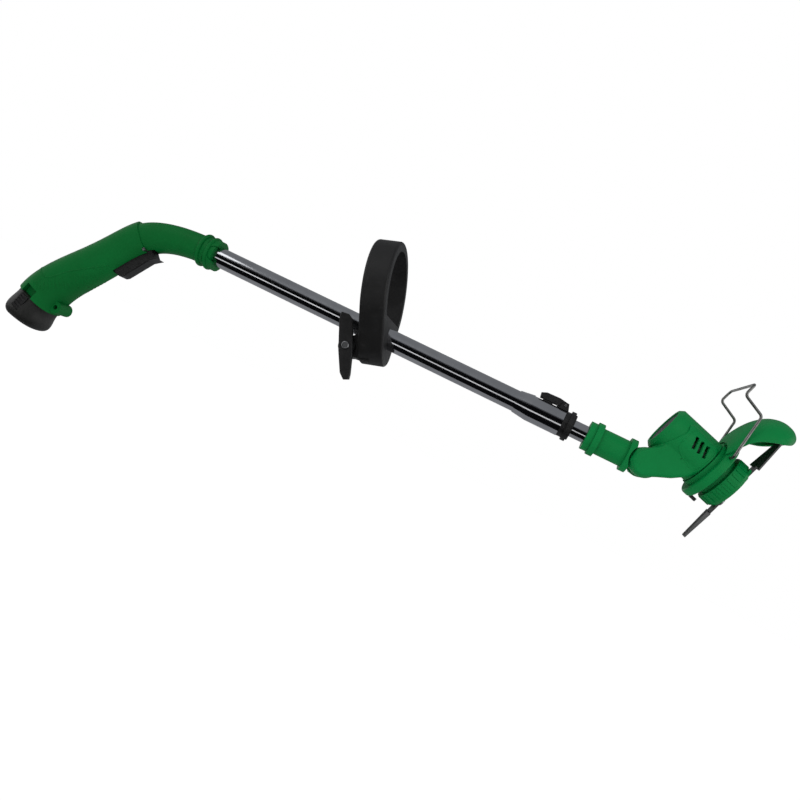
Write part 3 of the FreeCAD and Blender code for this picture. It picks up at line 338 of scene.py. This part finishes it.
def buildStudio():
    world = bpy.data.worlds.new("paleRoom")
    bpy.context.scene.world = world
    world.use_nodes = True
    tree = world.node_tree
    tree.nodes.clear()
    output = addNode(tree, "ShaderNodeOutputWorld")
    strength = addNode(tree, "ShaderNodeMapRange",
                       inputs={"To Min": studio["ambient"], "To Max": 1.0},
                       links={"Value": backgroundRays(tree)})
    sky = addNode(tree, "ShaderNodeBackground", inputs={"Color": (1, 1, 1, 1)},
                  links={"Strength": strength.outputs["Result"]})
    tree.links.new(sky.outputs[0], output.inputs["Surface"])

    floorHeight = cadBox[0][2] - studio["floorDrop"]
    mesh = bpy.data.meshes.new("floor")
    bm = bmesh.new()
    bmesh.ops.create_grid(bm, x_segments=1, y_segments=1, size=studio["floorSize"] / 2)
    bmesh.ops.translate(bm, vec=(studio["floorMiddle"], 0, floorHeight), verts=bm.verts)
    bm.to_mesh(mesh)
    bm.free()
    floor = bpy.data.objects.new("floor", mesh)
    bpy.context.scene.collection.objects.link(floor)
    material = bpy.data.materials.new("paintedFloor")
    material.use_nodes = True
    tree = material.node_tree
    tree.nodes.clear()
    output = addNode(tree, "ShaderNodeOutputMaterial")
    matt = addNode(tree, "ShaderNodeBsdfDiffuse", inputs={"Color": linear("#f2f2f2")})
    glow = addNode(tree, "ShaderNodeEmission", inputs={"Color": (1, 1, 1, 1), "Strength": studio["glow"]})
    share = addNode(tree, "ShaderNodeMath", {"operation": "MULTIPLY"}, inputs={1: studio["glowShare"]},
                    links={0: backgroundRays(tree)})
    mix = addNode(tree, "ShaderNodeMixShader",
                  links={0: share.outputs[0], 1: matt.outputs[0], 2: glow.outputs[0]})
    tree.links.new(mix.outputs[0], output.inputs["Surface"])
    mesh.materials.append(material)

    for softbox in studio["softboxes"]:
        areaLight(*softbox)
    glossTent()


def buildCamera():
    # level camera, ten degrees off square, rolled so the pole falls to the right
    lens = dict(focal=31.29, place=(0.4284, -0.8075, -0.0586), heading=10.0, roll=26.6)
    data = bpy.data.cameras.new("camera")
    data.sensor_width = 36.0
    data.lens = lens["focal"]
    data.clip_start = 0.01
    camera = bpy.data.objects.new("camera", data)
    bpy.context.scene.collection.objects.link(camera)
    camera.matrix_world = (Matrix.Translation(lens["place"])
                           @ Matrix.Rotation(math.radians(lens["heading"]), 4, "Z")
                           @ Matrix.Rotation(math.pi / 2, 4, "X")
                           @ Matrix.Rotation(math.radians(lens["roll"]), 4, "Z"))
    bpy.context.scene.camera = camera


headPlace = Matrix.Translation((0.562, 0, 0)) @ Matrix.Rotation(math.radians(18.5), 4, "Y")


def smoothLine(points, share):
    # a point on the smooth line through the given points, share running from 0 to 1
    place = share * (len(points) - 1)
    i = min(int(place), len(points) - 2)
    t = place - i
    ring = [Vector(points[max(0, min(len(points) - 1, i + k))]) for k in (-1, 0, 1, 2)]
    return 0.5 * (2 * ring[1] + (ring[2] - ring[0]) * t
                  + (2 * ring[0] - 5 * ring[1] + 4 * ring[2] - ring[3]) * t * t
                  + (3 * ring[1] - ring[0] - 3 * ring[2] + ring[3]) * t * t * t)


def makePiece(bm, name, body, finish):
    mesh = bpy.data.meshes.new(name)
    bm.to_mesh(mesh)
    bm.free()
    mesh.shade_smooth()
    mesh.materials.append(materials[finish])
    piece = bpy.data.objects.new(name, mesh)
    bpy.context.scene.collection.objects.link(piece)
    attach(piece, body)
    return piece


# each station of the hood: crest and rim as (along the cutting axis, out from the pole axis), and half width
guardHood = dict(
    crest=[(46, 76.5), (45.5, 91), (48, 104), (52.5, 115.5), (60, 125.5), (70.5, 131.5), (80.5, 132),
           (87, 129.5), (91, 126), (92, 124)],
    rim=[(50, 62), (52.5, 72), (54.5, 79), (57.5, 87), (63, 94.5), (70.5, 101), (78.5, 107), (85, 113.5),
         (89.5, 119.5), (91.5, 122.5)],
    halfWidth=[30, 35.5, 37.5, 38, 38, 38, 37, 29.5, 17, 5],
    wall=2.2, softEdge=0.7, narrowest=2, across=28, along=44)


def buildGuard():
    look = guardHood
    stations = [(*crest, *rim, half) for crest, rim, half
                in zip(look["crest"], look["rim"], look["halfWidth"])]
    lines = [[station[k:k + 2] + (0,) for station in stations] for k in (0, 2)]
    widths = [(half, 0, 0) for half in look["halfWidth"]]
    bm = bmesh.new()
    bmesh.ops.create_grid(bm, x_segments=look["across"], y_segments=look["along"], size=1)
    for v in bm.verts:
        share = (v.co.y + 1) / 2
        crest, rim = smoothLine(lines[0], share), smoothLine(lines[1], share)
        half = max(smoothLine(widths, share).x, look["narrowest"])
        turn = v.co.x * math.pi / 2
        spot = rim + (crest - rim) * math.cos(turn)
        v.co = Vector((spot.x, half * math.sin(turn), spot.y)) / 1000
    bmesh.ops.recalc_face_normals(bm, faces=bm.faces)
    bmesh.ops.solidify(bm, geom=bm.faces[:], thickness=look["wall"] / 1000)
    bmesh.ops.recalc_face_normals(bm, faces=bm.faces)
    bmesh.ops.transform(bm, matrix=headPlace, verts=bm.verts)
    piece = makePiece(bm, "guard_hood", "head", "greenAbsHead")
    edge = piece.modifiers.new("softEdge", "BEVEL")
    edge.width = look["softEdge"] / 1000
    edge.segments = 2
    edge.limit_method = "ANGLE"
    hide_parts("guard")


outside = 0.09  # metres from the middle plane, past every shell


def shellTree(shell):
    bm = bmesh.new()
    bm.from_mesh(nodes[shell].data if isinstance(shell, str) else shell.data)
    tree = BVHTree.FromBMesh(bm)
    bm.free()
    return tree


def raisedLine(name, shell, points, side, width, body, finish, place=None, closed=False):
    # a moulded bead on the shell: the points, in mm from the side, are dropped onto its surface
    perPoint, sink = 6, 0.25
    tree = shellTree(shell)
    track = []
    count = len(points) * perPoint
    source = points + points[:1] if closed else points
    for i in range(count + (0 if closed else 1)):
        flat = smoothLine([(*p, 0) for p in source], i / count)
        spot = Vector((flat.x, 0, flat.y)) / 1000
        spot = place @ spot if place else spot
        hit = tree.ray_cast(Vector((spot.x, side * outside, spot.z)), Vector((0, -side, 0)))
        if hit[0] is not None:
            track.append(hit[0] - hit[1] * (width * sink / 1000))
    curve = bpy.data.curves.new(name, "CURVE")
    curve.dimensions = "3D"
    curve.bevel_depth = width / 2000
    curve.bevel_resolution = 2
    curve.use_fill_caps = True
    spline = curve.splines.new("POLY")
    spline.points.add(len(track) - 1)
    for point, spot in zip(spline.points, track):
        point.co = (*spot, 1)
    spline.use_cyclic_u = closed
    line = bpy.data.objects.new(name + "_line", curve)
    bpy.context.scene.collection.objects.link(line)
    mesh = bpy.data.meshes.new_from_object(line)
    bpy.data.objects.remove(line)
    bm = bmesh.new()
    bm.from_mesh(mesh)
    bmesh.ops.remove_doubles(bm, verts=bm.verts, dist=1e-6)
    bmesh.ops.recalc_face_normals(bm, faces=bm.faces)
    return makePiece(bm, name, body, finish)


headDetail = dict(
    leaf=[(44, 25), (37, 12), (30, 4), (20, -7), (9, -13), (-2, -16), (-11, -12), (-14.5, -4), (-14, 5),
          (-9, 15), (-3, 26), (1, 36), (4, 46), (6, 55), (4, 62), (9, 66), (18, 65.5), (28, 65), (36, 64.5),
          (42, 63.5), (45, 55), (45, 40)],
    leafCentre=(22, 28), lift=2.4, rings=46, spokes=150, slotDepth=0.004,
    vent=[(14, 33), (25, 29), (36, 27), (40, 32), (41, 44), (41, 55), (36, 60), (25, 62), (14, 62), (10, 57),
          (9, 46), (10, 37)],
    ventWidth=1.5, barrelRadius=27.5, motorAxis=45, ventSpan=((12, 40), (31, 60)),
    rimSteps=14, sink=0.6, smallest=0.02, merge=0.02)
gripDetail = dict(
    border=[(-206, -112), (-196, -118), (-184, -119), (-164, -101), (-140, -84), (-122, -72)], lineWidth=2.0,
    ribStart=(-202, -128), ribEnd=(-134, -90), ribCount=17, ribLength=15, ribWidth=1.3)


def buildLeafPanel(side, tag):
    # raised side panel: a disc of rings drawn out to the leaf outline, dropped on the shell and lifted off it
    look = headDetail
    tree = shellTree("head_shell_" + tag)
    centre = Vector((*look["leafCentre"], 0))
    outline = [(*p, 0) for p in look["leaf"] + look["leaf"][:1]]
    bm = bmesh.new()
    bmesh.ops.create_grid(bm, x_segments=look["rings"], y_segments=look["spokes"], size=1)
    gone = []
    for v in bm.verts:
        ring, share = (v.co.x + 1) / 2, (v.co.y + 1) / 2
        flat = centre.lerp(smoothLine(outline, share), max(ring, look["smallest"]))
        spot = headPlace @ (Vector((flat.x, 0, flat.y)) / 1000)
        hit = tree.ray_cast(Vector((spot.x, side * outside, spot.z)), Vector((0, -side, 0)))
        surface = abs(hit[0].y) if hit[0] is not None else 0
        radius = math.sqrt(max(look["barrelRadius"] ** 2 - (flat.y - look["motorAxis"]) ** 2, 0)) / 1000
        inVent = all(low < at < high for at, (low, high) in zip(flat, look["ventSpan"]))
        if hit[0] is None or (inVent and surface < radius - look["slotDepth"]):
            gone.append(v)
            continue
        rise = min(1, (1 - ring) * look["rimSteps"]) ** 0.5
        lifted = surface + (rise * look["lift"] - look["sink"]) / 1000
        v.co = Vector((spot.x, side * lifted, spot.z))
    bmesh.ops.delete(bm, geom=gone, context="VERTS")
    bmesh.ops.remove_doubles(bm, verts=bm.verts, dist=look["merge"] / 1000)
    bmesh.ops.recalc_face_normals(bm, faces=bm.faces)
    if sum(face.normal.y * face.calc_area() for face in bm.faces) * side < 0:
        bmesh.ops.reverse_faces(bm, faces=bm.faces)
    return makePiece(bm, "head_leaf_" + tag, "head", "greenAbsHead")


def buildCasingLines():
    for side, tag in ((-1, "right"), (1, "left")):
        leaf = buildLeafPanel(side, tag)
        raisedLine("vent_frame_" + tag, leaf, headDetail["vent"], side,
                   headDetail["ventWidth"], "head", "greenAbsHead", headPlace, closed=True)
        raisedLine("grip_border_" + tag, "handle_shell_" + tag, gripDetail["border"], side,
                   gripDetail["lineWidth"], "root", "greenAbsHandle")
        start, end = Vector(gripDetail["ribStart"]), Vector(gripDetail["ribEnd"])
        down = Vector((end.y - start.y, -(end.x - start.x))).normalized() * gripDetail["ribLength"]
        for i in range(gripDetail["ribCount"]):
            top = start.lerp(end, i / (gripDetail["ribCount"] - 1))
            raisedLine("grip_rib_%s_%d" % (tag, i), "handle_shell_" + tag,
                       [tuple(top), tuple(top + down / 2), tuple(top + down)], side,
                       gripDetail["ribWidth"], "root", "greenAbsHandle")


buildGuard()
buildCasingLines()
print("casing details built")

buildStudio()
buildCamera()
bpy.context.scene.view_settings.view_transform = "Standard"
print("studio and camera set")
